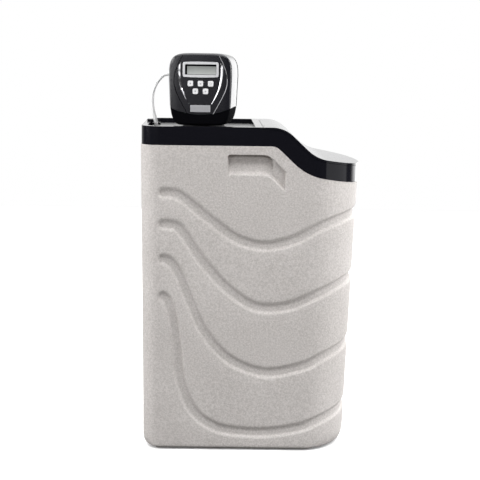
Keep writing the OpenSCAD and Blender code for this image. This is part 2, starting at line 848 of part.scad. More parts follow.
module button(i) {
    color([0.93, 0.93, 0.92])
        at_head()
            union() {
                face_plate(BUTTONS[i][0], BUTTONS[i][1], button_w, button_h, 3, -head_front - 2.2,
                    head_t + 1.5 - head_front);
                face_plate(BUTTONS[i][0], BUTTONS[i][1], button_w + 3, button_h + 2.4, 3,
                    head_t + 0.4 - head_front, head_t + 1.8 - head_front);
                along_y(BUTTONS[i][0], head_t + 1 - head_front, BUTTONS[i][1])
                    cylinder(r = 3, h = 11);
            }
}
module button_1() { button(0); }
module button_2() { button(1); }
module button_3() { button(2); }
module button_4() { button(3); }
module button_5() { button(4); }

module circuit_board() {
    color([0.1, 0.35, 0.18])
        at_head()
            difference() {
                union() {
                    translate([-60, board_y, head_z + 20])
                        cube([120, 1.6, 122]);
                    for (b = BUTTONS)
                        face_plate(b[0], b[1], 6.4, 6.4, 0.6, board_y - 5.9, board_y + 0.5);
                    face_plate(0, lcd_z, 76, 30, 1, head_t + 1.2 - head_front, board_y + 0.5);
                    translate([-46, board_y + 1.5, head_z + 104])
                        cube([22, 9, 12]);
                    translate([20, board_y + 1.5, head_z + 110])
                        cube([30, 7, 9]);
                    translate([-20, board_y + 1.5, head_z + 30])
                        cube([16, 2, 16]);
                }
                for (s = [-1, 1])
                    for (z = [head_z + 22, head_z + 134])
                        along_y(s * 56, board_y - 1, z)
                            cylinder(r = 1.6, h = 4);
            }
}

// Four screws that hold the board on the bracket posts

module board_screws() {
    color([0.7, 0.71, 0.73])
        at_head()
            for (s = [-1, 1])
                for (z = [head_z + 22, head_z + 134])
                    along_y(s * 56, board_y - 2.3, z)
                        difference() {
                            union() {
                                cylinder(r = 3.1, h = 2.2);
                                cylinder(r = 1.5, h = 14);
                            }
                            translate([-2.2, -0.4, -1])
                                cube([4.4, 0.8, 2]);
                            translate([-0.4, -2.2, -1])
                                cube([0.8, 4.4, 2]);
                        }
}

// Drive: motor and pinion, main gear, screw-driven piston

function flank(rb, r) = let (q = sqrt(max(r * r / (rb * rb) - 1, 0))) q * 180 / PI - atan(q);

function gear_pts(n, slack) =
    let (rp = m * n / 2, rb = rp * cos(20), ro = rp + 0.85 * m, ri = rp - 1.2 * m)
    let (h = 90 / n - slack / rp * 90 / PI + flank(rb, rp))
    [for (k = [0 : n - 1])
        for (e = concat([[-1, ri]], [for (j = [0 : 4]) [-1, max(rb, ri + 0.1) + (ro - max(rb, ri + 0.1)) * j / 4]],
            [for (j = [4 : -1 : 0]) [1, max(rb, ri + 0.1) + (ro - max(rb, ri + 0.1)) * j / 4]], [[1, ri]]))
            let (a = 360 * k / n + e[0] * (h - flank(rb, max(e[1], rb))))
            [e[1] * cos(a), e[1] * sin(a)]];

module gearmotor() {
    color([0.6, 0.6, 0.62])
        at_head()
            union() {
                along_y(0, -20.1, barrel_z + gear_gap)
                    cylinder(r = 17, h = 40);
                along_y(0, gear_y - 3, barrel_z + gear_gap)
                    cylinder(r = 2, h = -20.1 - gear_y + 4);
            }
}

module drive_pinion() {
    color([0.92, 0.9, 0.82])
        at_head()
            along_y(0, gear_y, barrel_z + gear_gap)
                difference() {
                    linear_extrude(gear_w + 2)
                        rotate([0, 0, 90 + 180 / pinion_teeth])
                            polygon(gear_pts(pinion_teeth, 0.12));
                    translate([0, 0, -1])
                        cylinder(r = 2.05, h = gear_w + 4);
                }
}

module main_gear() {
    color([0.92, 0.9, 0.82])
        at_head()
            along_y(0, gear_y + 1, barrel_z)
                difference() {
                    union() {
                        linear_extrude(gear_w)
                            rotate([0, 0, -90])
                                polygon(gear_pts(main_teeth, 0.12));
                        translate([0, 0, gear_w - 0.5])
                            cylinder(r = 12, h = 5);
                    }
                    translate([0, 0, -1])
                        cylinder(r = 5.08, h = gear_w + 10);
                    for (a = [0 : 60 : 300])
                        rotate([0, 0, a])
                            translate([22, 0, -1])
                                cylinder(r = 6, h = gear_w + 2);
                }
}

module drive_cap() {
    color([0.16, 0.16, 0.17])
        at_head()
            along_y(0, -31.5, barrel_z)
                difference() {
                    union() {
                        cylinder(r = 27, h = 11.3);
                        cylinder(r = 20.8, h = 20);
                    }
                    translate([0, 0, -1])
                        cylinder(r = 5.5, h = 30);
                    for (a = [0 : 45 : 315])
                        rotate([0, 0, a])
                            translate([28, 0, -1])
                                cylinder(r = 3, h = 9);
                }
}

module piston() {
    color([0.3, 0.3, 0.33])
        at_head()
            along_y(0, -66, barrel_z)
                difference() {
                    union() {
                        cylinder(r = 5, h = 70);
                        translate([0, 0, 58])
                            cylinder(r = 13.6, h = 20);
                    }
                    for (z = [62, 67, 72])
                        translate([0, 0, z])
                            difference() {
                                cylinder(r = 14, h = 2);
                                translate([0, 0, -1])
                                    cylinder(r = 12.4, h = 4);
                            }
                }
}

module spacer_stack() {
    color([0.85, 0.85, 0.85])
        at_head()
            along_y(0, -11.3, barrel_z)
                difference() {
                    cylinder(r = 20.7, h = 58);
                    translate([0, 0, -1])
                        cylinder(r = 14, h = 62);
                    for (i = [0 : 4])
                        translate([0, 0, 4 + i * 11])
                            for (a = [0 : 45 : 135])
                                rotate([0, 0, a])
                                    translate([-30, -4, 0])
                                        cube([60, 8, 5]);
                }
}

module injector() {
    color([0.85, 0.3, 0.2])
        at_head()
            translate([26, 6, barrel_z - 16])
                rotate([0, 90, 0])
                    difference() {
                        union() {
                            cylinder(r = 8.6, h = 6);
                            cylinder(r = 6, h = 26);
                        }
                        translate([0, 0, -1])
                            cylinder(r = 1.5, h = 40);
                    }
}

module injector_cap() {
    color([0.14, 0.14, 0.15])
        at_head()
            translate([53, 6, barrel_z - 16])
                rotate([0, 90, 0])
                    union() {
                        translate([0, 0, 3.2])
                            cylinder(r = 16, h = 7);
                        cylinder(r = 8.8, h = 4);
                        translate([0, 0, 9])
                            cylinder(r = 9, h = 6, $fn = 6);
                    }
}

// Refill fitting and nut for the brine tube, on the left of the valve

module refill_elbow() {
    color([0.13, 0.13, 0.14])
        at_head()
            translate([-74, elbow_y, elbow_z])
                rotate([0, 90, 0])
                    difference() {
                        union() {
                            cylinder(r = 8, h = 14);
                            translate([0, 0, 11])
                                cylinder(r = 11, h = 6.9);
                            cylinder(r = 6.9, h = 30);
                        }
                        translate([0, 0, -1])
                            cylinder(r = 3, h = 40);
                    }
}

module refill_nut() {
    color([0.12, 0.12, 0.13])
        at_head()
            translate([-86, elbow_y, elbow_z])
                rotate([0, 90, 0])
                    difference() {
                        cylinder(r = 10.5, h = 19, $fn = 6);
                        translate([0, 0, -1])
                            cylinder(r = tube_r + 0.4, h = 30);
                        translate([0, 0, 11.8])
                            cylinder(r = 8.1, h = 10);
                    }
}

module drain_elbow() {
    color([0.13, 0.13, 0.14])
        at_head()
            difference() {
                union() {
                    translate([18, 32, barrel_z + 30])
                        cylinder(r = 7.8, h = 28);
                    translate([18, 32, barrel_z + 40.2])
                        cylinder(r = 12, h = 10);
                    translate([18, 32, barrel_z + 58])
                        sphere(r = 10);
                    along_y(18, 32, barrel_z + 58)
                        cylinder(r = 8, h = 84);
                    for (y = [104, 110])
                        along_y(18, y, barrel_z + 58)
                            cylinder(r1 = 8.6, r2 = 8, h = 5);
                }
                translate([18, 32, barrel_z + 29])
                    cylinder(r = 5, h = 29);
                along_y(18, 32, barrel_z + 58)
                    cylinder(r = 5, h = 100);
            }
}

module port_nut(s) {
    color([0.1, 0.1, 0.11])
        at_head()
            along_y(s * port_x, nut_y0, port_z)
                difference() {
                    cylinder(r = port_r + 8.4, h = nut_y1 - nut_y0);
                    translate([0, 0, -1])
                        cylinder(r = port_r + 0.1, h = 40);
                    for (a = [0 : 30 : 330])
                        rotate([0, 0, a])
                            translate([port_r + 9.9, 0, 3])
                                cylinder(r = 3.4, h = 30);
                }
}
module inlet_nut() { port_nut(1); }
module outlet_nut() { port_nut(-1); }

// Flow meter in the outlet port: two spiders, an axle and a turbine

module meter_cage() {
    color([0.9, 0.9, 0.88])
        at_head()
            for (y = [66, 92])
                along_y(-port_x, y, port_z)
                    difference() {
                        union() {
                            difference() {
                                cylinder(r = port_bore - 0.1, h = 4);
                                translate([0, 0, -1])
                                    cylinder(r = port_bore - 1.6, h = 6);
                            }
                            cylinder(r = 3.2, h = 4);
                            for (a = [0 : 60 : 120])
                                rotate([0, 0, a])
                                    translate([0.8 - port_bore, -0.7, 0])
                                        cube([2 * port_bore - 1.6, 1.4, 4]);
                        }
                        translate([0, 0, -1])
                            cylinder(r = 1, h = 6);
                    }
}

module meter_axle() {
    color([0.75, 0.76, 0.78])
        at_head()
            along_y(-port_x, 66, port_z)
                cylinder(r = 1, h = 30);
}

module meter_turbine() {
    color([0.2, 0.45, 0.8])
        at_head()
            along_y(-port_x, 74, port_z)
                difference() {
                    union() {
                        cylinder(r = 3.5, h = 14);
                        for (a = [0 : 72 : 288])
                            rotate([0, 0, a])
                                translate([0, -0.7, 1])
                                    cube([port_bore - 0.6, 1.4, 12]);
                    }
                    translate([0, 0, -1])
                        cylinder(r = 1.05, h = 16);
                }
}

// Brine side

module brine_tube() {
    color([0.93, 0.93, 0.92]) {
        p = smooth(TUBE, 3);
        last = len(p) - 1;
        tube_solid([for (i = [0 : last])
            let (t = unit(p[min(i + 1, last)] - p[max(i - 1, 0)]))
            let (a = unit(cross(t, abs(t[1]) > 0.9 ? [1, 0, 0] : [0, 1, 0])))
            let (b = cross(t, a))
            [for (j = [0 : 9]) p[i] + tube_r * (a * cos(36 * j) + b * sin(36 * j))]]);
    }
}

module brine_well() {
    color([0.9, 0.9, 0.88])
        translate([well_x, well_y, well_foot])
            difference() {
                cylinder(r = well_r, h = well_h);
                translate([0, 0, -1])
                    cylinder(r = well_r - 2.5, h = well_h + 2);
                for (i = [0 : 4])
                    for (a = [0 : 60 : 120])
                        rotate([0, 0, a])
                            translate([-60, -3, 20 + 24 * i])
                                cube([120, 6, 12]);
            }
}

module brine_well_cap() {
    color([0.12, 0.12, 0.13])
        translate([well_x, well_y, well_foot + well_h - 9.7])
            difference() {
                cylinder(r = well_r + 2.5, h = 12);
                translate([0, 0, -1])
                    cylinder(r = well_r + 0.3, h = 10.8);
                cylinder(r = 6.9, h = 60, center = true);
            }
}

module air_check() {
    color([0.9, 0.9, 0.9])
        translate([well_x, well_y, well_foot + 4])
            difference() {
                union() {
                    cylinder(r = 14, h = 60);
                    translate([0, 0, 59])
                        cylinder(r = 8, h = 16);
                }
                translate([0, 0, 4])
                    cylinder(r = 11, h = 50);
                cylinder(r = 3.4, h = 100);
                for (i = [0 : 5])
                    translate([0, 0, 6 + 7 * i])
                        for (a = [0, 60, 120])
                            rotate([0, 0, a])
                                translate([-20, -4, 0])
                                    cube([40, 8, 1.5]);
            }
}

// Ball that shuts the air check when the brine is gone

module check_ball() {
    color([0.85, 0.85, 0.8])
        translate([well_x, well_y, well_foot + 8 + 6.3])
            sphere(r = 7);
}

module pickup_tube() {
    color([0.88, 0.88, 0.86])
        translate([well_x, well_y, well_foot + 79.2])
            difference() {
                cylinder(r = 6.5, h = TUBE[24][2] - well_foot - 79.6);
                translate([0, 0, -1])
                    cylinder(r = 4.8, h = 700);
            }
}

module float_rod() {
    color([0.8, 0.8, 0.8])
        translate([well_x, well_y, well_foot + 300])
            difference() {
                union() {
                    translate([-24, 0, 0])
                        cylinder(r = 2.5, h = 150);
                    for (z = [0, 144])
                        translate([0, 0, z])
                            union() {
                                cylinder(r = 10, h = 6);
                                translate([-24, -4, 0])
                                    cube([24, 8, 6]);
                            }
                }
                translate([0, 0, -1])
                    cylinder(r = 6.55, h = 200);
            }
}

module float() {
    color([0.9, 0.55, 0.2])
        translate([well_x - 24, well_y, well_foot + 330])
            difference() {
                cylinder(r = 14, h = 60);
                translate([0, 0, -1])
                    cylinder(r = 2.58, h = 80);
                translate([24, 0, -1])
                    cylinder(r = 11, h = 80);
            }
}

// Overflow fitting through the far wall

module at_overflow() {
    translate([overflow_x, half_w - lean(overflow_z), overflow_z])
        children();
}

module overflow_gasket() {
    color([0.05, 0.05, 0.05])
        at_overflow()
            along_y(0, 0.5, 0)
                difference() {
                    cylinder(r = 15, h = 2);
                    translate([0, 0, -1])
                        cylinder(r = 10.1, h = 4);
                }
}

module overflow_elbow() {
    color([0.1, 0.1, 0.1])
        at_overflow()
            difference() {
                union() {
                    along_y(0, -20, 0)
                        cylinder(r = 10, h = 40);
                    along_y(0, 2.6, 0)
                        cylinder(r = 15, h = 3);
                    translate([0, 20, 0])
                        sphere(r = 10);
                    translate([0, 20, -12])
                        cylinder(r = 10, h = 12);
                    translate([0, 20, -14])
                        cylinder(r = 7.6, h = 14);
                    translate([0, 20, -40])
                        cylinder(r = 8, h = 27);
                }
                along_y(0, -21, 0)
                    cylinder(r = 6, h = 41);
                translate([0, 20, -41])
                    cylinder(r = 5.5, h = 41);
            }
}

module overflow_nut() {
    color([0.12, 0.12, 0.12])
        at_overflow()
            along_y(0, -wall - 6.6, 0)
                difference() {
                    cylinder(r = 16, h = 6, $fn = 6);
                    translate([0, 0, -1])
                        cylinder(r = 10.05, h = 12);
                }
}

cabinet_shell();
top_cover();
salt_lid();
lid_pin_near();
lid_pin_far();
resin_tank();
tank_foot();
resin_bed();
riser_tube();
lower_strainer();
upper_strainer();
valve_body();
neck_seal();
drive_bracket();
front_cover();
lower_housing();
lcd_bezel();
lcd_screen();
nameplate();
button_1();
button_2();
button_3();
button_4();
button_5();
circuit_board();
board_screws();
gearmotor();
drive_pinion();
main_gear();
drive_cap();
piston();
spacer_stack();
injector();
injector_cap();
refill_elbow();
refill_nut();
drain_elbow();
inlet_nut();
outlet_nut();
meter_cage();
meter_axle();
meter_turbine();
brine_tube();
brine_well();
brine_well_cap();
air_check();
check_ball();
pickup_tube();
float_rod();
float();
overflow_gasket();
overflow_elbow();
overflow_nut();
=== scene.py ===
import json
import math

import bmesh
import bpy
import numpy as np
from mathutils import Matrix, Vector


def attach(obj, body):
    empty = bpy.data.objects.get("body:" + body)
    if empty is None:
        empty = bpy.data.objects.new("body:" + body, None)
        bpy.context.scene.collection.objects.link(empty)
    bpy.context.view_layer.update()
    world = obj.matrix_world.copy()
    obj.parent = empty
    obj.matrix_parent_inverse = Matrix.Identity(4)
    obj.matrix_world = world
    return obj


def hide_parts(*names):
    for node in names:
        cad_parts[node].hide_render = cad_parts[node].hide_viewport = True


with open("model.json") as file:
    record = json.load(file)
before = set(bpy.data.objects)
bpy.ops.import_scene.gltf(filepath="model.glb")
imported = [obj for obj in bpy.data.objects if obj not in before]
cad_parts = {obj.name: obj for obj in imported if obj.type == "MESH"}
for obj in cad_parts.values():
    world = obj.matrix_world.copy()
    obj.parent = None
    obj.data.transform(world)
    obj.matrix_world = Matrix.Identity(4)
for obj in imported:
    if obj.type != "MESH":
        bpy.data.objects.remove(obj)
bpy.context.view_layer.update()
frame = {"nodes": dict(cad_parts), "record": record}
nodes = frame["nodes"]
scene = bpy.context.scene
slot_of_node = {entry["node"]: entry["material_slot"] for entry in frame["record"]["subparts"]}
body_of_node = {node: body for body, members in frame["record"]["behaviour"]["bodies"].items()
                for node in members}
MM = 0.001


# Camera: where the photographer stood, the lens in pixels of the photograph, and the roll in radians

FRAME_PX = 480
FOCAL_PX = 1148
CENTRE_PX = 211.5
HORIZON_PX = 50
EYE = Vector((-90.1, -2770, 937.4)) * MM
ROLL = 0.0125
SENSOR = 36
FAR_CLIP = 60


def place_camera():
    data = bpy.data.cameras.new("camera")
    data.sensor_width = SENSOR
    data.lens = SENSOR * FOCAL_PX / FRAME_PX
    data.shift_x = (FRAME_PX / 2 - CENTRE_PX) / FRAME_PX
    data.clip_end = FAR_CLIP
    pitch = math.atan((FRAME_PX / 2 - HORIZON_PX) / FOCAL_PX)
    camera = bpy.data.objects.new("camera", data)
    camera.matrix_world = (
        Matrix.Translation(EYE)
        @ Matrix.Rotation(math.pi / 2 - pitch, 4, "X")
        @ Matrix.Rotation(ROLL, 4, "Z")
    )
    scene.collection.objects.link(camera)
    scene.camera = camera


# Shader arithmetic: a socket that adds, multiplies and so on by adding nodes

class Value:
    def __init__(self, finish, socket):
        self.finish = finish
        self.socket = socket

    def combine(self, operation, first, second):
        made = self.finish.node("ShaderNodeMath", {0: first, 1: second}, operation=operation)
        return self.finish.value(made)

    def __add__(self, other):
        return self.combine("ADD", self, other)

    def __sub__(self, other):
        return self.combine("SUBTRACT", self, other)

    def __rsub__(self, other):
        return self.combine("SUBTRACT", other, self)

    def __mul__(self, other):
        return self.combine("MULTIPLY", self, other)

    def larger(self, other):
        return self.combine("MAXIMUM", self, other)

    def step(self, low, high):
        made = self.finish.node("ShaderNodeMapRange", {"Value": self, "From Min": low, "From Max": high},
                                interpolation_type="SMOOTHSTEP")
        return self.finish.value(made)


class Finish:
    """One material or world, with a method that makes any node in it."""

    MIX_DARK, MIX_LIGHT = 6, 7
    MIX_COLOUR = 2

    def __init__(self, name, world=False):
        store = bpy.data.worlds if world else bpy.data.materials
        self.block = store.new(name)
        self.block.use_nodes = True
        self.tree = self.block.node_tree
        self.tree.nodes.clear()
        self.out = self.tree.nodes.new("ShaderNodeOutputWorld" if world else "ShaderNodeOutputMaterial")

    def node(self, kind, sockets=None, **settings):
        made = self.tree.nodes.new(kind)
        for key, setting in settings.items():
            setattr(made, key, setting)
        for key, item in (sockets or {}).items():
            if isinstance(item, Value):
                self.tree.links.new(item.socket, made.inputs[key])
            else:
                made.inputs[key].default_value = item
        return made

    def value(self, made, output=0):
        return Value(self, made.outputs[output])

    def place(self):
        return self.value(self.node("ShaderNodeTexCoord"), "Object")

    def noise(self, scale, detail, rough):
        return self.value(self.node("ShaderNodeTexNoise", {
            "Vector": self.place(), "Scale": scale, "Detail": detail, "Roughness": rough}))

    def blend(self, share, dark, light):
        made = self.node("ShaderNodeMix", {
            "Factor": share, self.MIX_DARK: rgba(*dark), self.MIX_LIGHT: rgba(*light)}, data_type="RGBA")
        return self.value(made, self.MIX_COLOUR)

    def bump(self, height, depth, strength):
        return self.value(self.node("ShaderNodeBump", {
            "Height": height, "Distance": depth, "Strength": strength}))

    def surface(self, **sockets):
        named = {key.replace("_", " ").title().replace("Ior", "IOR"): item for key, item in sockets.items()}
        made = self.node("ShaderNodeBsdfPrincipled", named)
        self.tree.links.new(made.outputs[0], self.out.inputs[0])
        return self.block


def rgba(r, g, b):
    return (r, g, b, 1)


# Finishes: tones are linear, noise scales are per metre

WHITE = rgba(1, 1, 1)
SPECK_SPAN = (0.3, 0.7)
DUST_SPAN = (0.62, 0.8)
DUST_TONE = (0.05, 0.05, 0.054)
# Heights in metres between which the display's painted shade fades, from dark at its top to light at its foot
SCREEN_SHADE_TOP, SCREEN_SHADE_FOOT = 0.905, 0.878


def sanded_grey():
    """Moulded plastic with a fine speck and a sanded grain."""
    finish = Finish("sanded_grey")
    coarse = finish.noise(scale=250, detail=2, rough=0.6)
    grain = finish.noise(scale=520, detail=2, rough=0.6)
    pits = finish.noise(scale=1100, detail=1, rough=0.5)
    cloud = finish.noise(scale=5, detail=2, rough=0.5)
    speck = (coarse.step(*SPECK_SPAN) * 0.5 + grain.step(*SPECK_SPAN) * 0.35
             + cloud.step(*SPECK_SPAN) * 0.15)
    tone = finish.blend(speck, dark=(0.42, 0.394, 0.376), light=(0.67, 0.637, 0.618))
    relief = finish.bump(coarse + grain + pits * 0.4, depth=0.7 * MM, strength=0.6)
    return finish.surface(base_color=tone, roughness=grain * 0.2 + 0.6, specular_IOR_level=0.3,
                          normal=relief)


def gloss_black(name, tone, rough, level):
    """Polished plastic with a little haze and dust."""
    finish = Finish(name)
    haze = finish.noise(scale=38, detail=3, rough=0.6)
    dust = finish.noise(scale=700, detail=2, rough=0.6)
    colour = finish.blend(dust.step(*DUST_SPAN) * 0.25, dark=tone, light=DUST_TONE)
    return finish.surface(base_color=colour, roughness=haze * 0.06 + rough, specular_IOR_level=level,
                          normal=finish.bump(haze, depth=0.05 * MM, strength=0.3))


def matt_black(name, tone, rough, level=0.4):
    finish = Finish(name)
    grain = finish.noise(scale=1400, detail=2, rough=0.6)
    colour = finish.blend(grain, dark=[t * 0.8 for t in tone], light=[t * 1.25 for t in tone])
    return finish.surface(base_color=colour, roughness=grain * 0.12 + rough, specular_IOR_level=level,
                          normal=finish.bump(grain, depth=0.08 * MM, strength=0.5))


def satin(name, dark, light, rough, scale=600, metallic=0.0):
    finish = Finish(name)
    grain = finish.noise(scale, detail=2, rough=0.6)
    return finish.surface(base_color=finish.blend(grain, dark, light), metallic=metallic,
                          roughness=grain * 0.1 + rough,
                          normal=finish.bump(grain, depth=0.03 * MM, strength=0.4))


def display_grey():
    """Unlit liquid crystal display with painted shade: darker at its top, where the bezel's shadow falls, and
    lighter towards its foot.
    """
    finish = Finish("screen_grey_painted_shade")
    height = finish.value(finish.node("ShaderNodeSeparateXYZ", {0: finish.place()}), "Z")
    grain = finish.noise(scale=240, detail=1, rough=0.5)
    # Painted shade: the display darkens towards its top
    share = height.step(SCREEN_SHADE_TOP, SCREEN_SHADE_FOOT) * 0.85 + grain * 0.15
    tone = finish.blend(share, dark=(0.25, 0.26, 0.255), light=(0.5, 0.52, 0.5))
    return finish.surface(base_color=tone, roughness=grain * 0.08 + 0.25)


def clear_white():
    """Milky tube that light scatters through."""
    finish = Finish("tube_white")
    cloud = finish.noise(scale=120, detail=2, rough=0.5)
    tone = finish.blend(cloud, dark=(0.95, 0.95, 0.94), light=(0.99, 0.99, 0.98))
    return finish.surface(base_color=tone, roughness=cloud * 0.1 + 0.3, subsurface_weight=0.9,
                          subsurface_scale=6 * MM, subsurface_radius=(1, 1, 1))


def make_finishes():
    return {
        "cabinet": sanded_grey(),
        "cover": gloss_black("cover_black", (0.006, 0.006, 0.009), rough=0.1, level=0.18),
        "deck": gloss_black("deck_grain", (0.012, 0.012, 0.014), rough=0.28, level=0.9),
        "fascia": gloss_black("fascia_black", (0.007, 0.007, 0.011), rough=0.22, level=0.6),
        # Chrome on the shield's rims and the right line is a painted highlight. It stands in for bright
        # reflections on the fascia's glossy black bevels, and real lamp reflections add to it
        "bevel": satin("bevel_painted_highlight", (0.7, 0.7, 0.73), (0.78, 0.78, 0.8), 0.06, scale=300, metallic=1.0),
        "housing": matt_black("housing_black", (0.003, 0.003, 0.004), rough=0.85, level=0.02),
        "fitting": matt_black("fitting_black", (0.012, 0.012, 0.013), rough=0.5),
        "silver": satin("silver_trim", (0.7, 0.7, 0.72), (0.78, 0.78, 0.8), 0.28, scale=900, metallic=0.25),
        "plate": satin("plate_silver", (0.46, 0.46, 0.48), (0.54, 0.54, 0.56), 0.3, scale=900, metallic=0.4),
        "screen": display_grey(),
        "button": satin("button_white", (0.87, 0.87, 0.88), (0.93, 0.93, 0.94), 0.35, scale=500),
        "mark": satin("mark_grey", (0.4, 0.4, 0.42), (0.48, 0.48, 0.5), 0.4, scale=900),
        "steel": satin("plain_steel", (0.5, 0.5, 0.52), (0.6, 0.6, 0.62), 0.3, scale=800, metallic=1.0),
        "tank": satin("wound_tank", (0.03, 0.045, 0.07), (0.05, 0.07, 0.1), 0.4, scale=90),
        "resin": satin("resin_beads", (0.22, 0.1, 0.02), (0.4, 0.22, 0.07), 0.5, scale=1100),
        "white": satin("white_plastic", (0.68, 0.68, 0.65), (0.78, 0.78, 0.75), 0.4, scale=300),
        "tube": clear_white(),
        "rubber": matt_black("soft_rubber", (0.01, 0.01, 0.01), rough=0.7),
        "board": satin("board_green", (0.008, 0.08, 0.025), (0.015, 0.12, 0.04), 0.4, scale=200),
        "piston": satin("piston_grey", (0.07, 0.07, 0.08), (0.1, 0.1, 0.11), 0.35),
        "red": satin("injector_red", (0.5, 0.06, 0.02), (0.62, 0.09, 0.04), 0.4),
        "blue": satin("turbine_blue", (0.02, 0.12, 0.45), (0.04, 0.18, 0.58), 0.35),
        "orange": satin("float_orange", (0.65, 0.2, 0.02), (0.78, 0.28, 0.04), 0.45),
    }


FINISH_OF_SLOT = {
    "cabinet_grey": "cabinet", "cover_black": "cover", "fascia_black": "fascia", "housing_black": "fitting",
    "silver_trim": "silver", "screen": "screen", "button_white": "button", "pin_steel": "steel",
    "tank_blue_grey": "tank", "resin": "resin", "white_plastic": "white", "tube_white": "tube",
    "seal_black": "rubber", "board_green": "board", "piston_grey": "piston", "injector_red": "red",
    "turbine_blue": "blue", "float_orange": "orange",
}
FINISH_OF_NODE = {"lower_housing": "housing", "front_cover": "fascia", "nameplate": "plate"}


def finish_of(finishes, node):
    return finishes[FINISH_OF_NODE.get(node) or FINISH_OF_SLOT[slot_of_node[node]]]


# Pieces

MERGE = 1e-5
FLAT = math.radians(0.6)


def piece(name, bm, finish, body, sharp=math.radians(40)):
    mesh = bpy.data.meshes.new(name)
    bm.to_mesh(mesh)
    bm.free()
    mesh.materials.append(finish)
    mesh.shade_smooth()
    mesh.set_sharp_from_angle(angle=sharp)
    made = bpy.data.objects.new(name, mesh)
    scene.collection.objects.link(made)
    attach(made, body)
    return made


def refined(node, finish, edge=0.6 * MM, corner=math.radians(32), rounds=2,
            second=None, picks=None, cut=None, shape=None):
    """A copy of a CAD node with flat faces joined and sharp edges rounded.

    A second finish goes on the faces picked, a plane can cut faces apart, and shape bends the copy.
    """
    bm = bmesh.new()
    bm.from_mesh(nodes[node].data)
    bmesh.ops.remove_doubles(bm, verts=bm.verts, dist=MERGE)
    bmesh.ops.dissolve_limit(bm, angle_limit=FLAT, verts=bm.verts, edges=bm.edges)
    sharp = [e for e in bm.edges if len(e.link_faces) == 2 and e.calc_face_angle(0) > corner]
    bmesh.ops.bevel(bm, geom=sharp, offset=edge, offset_type="OFFSET", segments=rounds, profile=0.5,
                    affect="EDGES", clamp_overlap=True, material=-1)
    if cut:
        slice_through(bm, *cut)
    for face in bm.faces:
        face.material_index = 1 if second and picks(face) else 0
    if shape:
        shape(bm)
    made = piece(node + "_finished", bm, finish, body_of_node[node])
    if second:
        made.data.materials.append(second)
    made.modifiers.new("flat_faces", "WEIGHTED_NORMAL").keep_sharp = True
    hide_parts(node)


def slice_through(bm, place, normal):
    bmesh.ops.bisect_plane(bm, geom=[*bm.verts, *bm.edges, *bm.faces], plane_co=place, plane_no=normal)


# Cabinet measures, in millimetres, as the part's source has them

HALF_W = 170
REAR_X = -256
TIP_X = 262
REAR_R = 45
FRONT_R = 115
BOW_R = 300
DECK_Z = 766
DECK_DROP = 11
WALL = 5
DRAFT = 9
FRONT_LEAN = 0.026
FOOT_R = 11
BAND_H = 43
RIM_GAP = 0.3

# The lid's S curve: a crest, a straight fall, a hollow and a straight tail
FALL_X = 45
CREST_R = 70
HOLLOW_R = 90
FALL_A = math.radians(43)
TAIL_A = math.radians(9)
FALL_LEN = 47
CURVE_STEPS = 24
OVERRUN = 20

# The wall's plan: distance along it equals x on the wide near side, and NOSE_S is the middle of the front
BOW_X = TIP_X - BOW_R
FRONT_X = BOW_X + math.sqrt((BOW_R - FRONT_R) ** 2 - (HALF_W - FRONT_R) ** 2)
BOW_A = math.atan2(HALF_W - FRONT_R, FRONT_X - BOW_X)
CORNER_A = math.pi / 2 - BOW_A
NOSE_S = FRONT_X + FRONT_R * CORNER_A + BOW_R * BOW_A
REAR_S = REAR_X + REAR_R
BACK_S = REAR_S - REAR_R * math.pi / 2 - (HALF_W - REAR_R)
AROUND = 2 * (NOSE_S - BACK_S)

# Wave grooves: distance along the wall and height
WAVES = [
    [(-202, 615), (-184, 614), (-158, 606), (-93, 554), (-27, 509), (38, 494), (102, 509), (166, 541),
     (240, 560), (310, 565)],
    [(-202, 542), (-184, 541), (-160, 530), (-111, 460), (-58, 401), (0, 358), (45, 347), (106, 356),
     (171, 384), (245, 406), (310, 412)],
    [(-201, 461), (-187, 456), (-165, 430), (-135, 360), (-99, 285), (-39, 222), (44, 192.5),
     (126, 206), (192, 232), (255, 247), (310, 252)],
    [(-200, 373), (-189, 362), (-176, 325), (-165, 250), (-154, 165), (-124, 96), (-70, 57), (0, 46),
     (64, 47), (130, 58), (192, 78), (255, 91), (310, 95)],
]
WAVE_STEPS = 10

# Section of a groove: the shoulder above it, the lip below it, and a shallow skirt outside the lip.
# LIP_DEEP, LIP_RISE (per millimetre) and SKIRT_DEEP are shares of GROOVE_DEEP
GROOVE_R = 13
GROOVE_DEEP = 7.5
SHOULDER_OUT = 3.5
SHOULDER_RUN = 8.5
SHOULDER_STEEP = 0.998
LIP_DEEP = 0.76
LIP_RISE = 0.015
LIP_IN = 5
LIP_RUN = 8
SKIRT_DEEP = 0.12
SKIRT_RUN = 26

# Finger scoop: its ends, its top edge that turns down at BEND_X, and its section below that edge.
# SLOT_MORE, RAMP_TOP and RAMP_FALL are shares of SCOOP_DEEP
SCOOP_X = (-56, 80)
SCOOP_DEEP = 23
SCOOP_TALL = 47
SCOOP_DROP = 19
SCOOP_ROUND = 8
SCOOP_END = 4
BEND_X = 21
BEND_RUN = 36
BEND_SLOPE = 0.95
LEDGE_RUN = 1.6
SLOT_MORE = 0.3
SLOT_TALL = 3
SLOT_RUN = 5
RAMP_TOP = 1.12
RAMP_FALL = 0.86
RAMP_END = 9
RAMP_RUN = 10

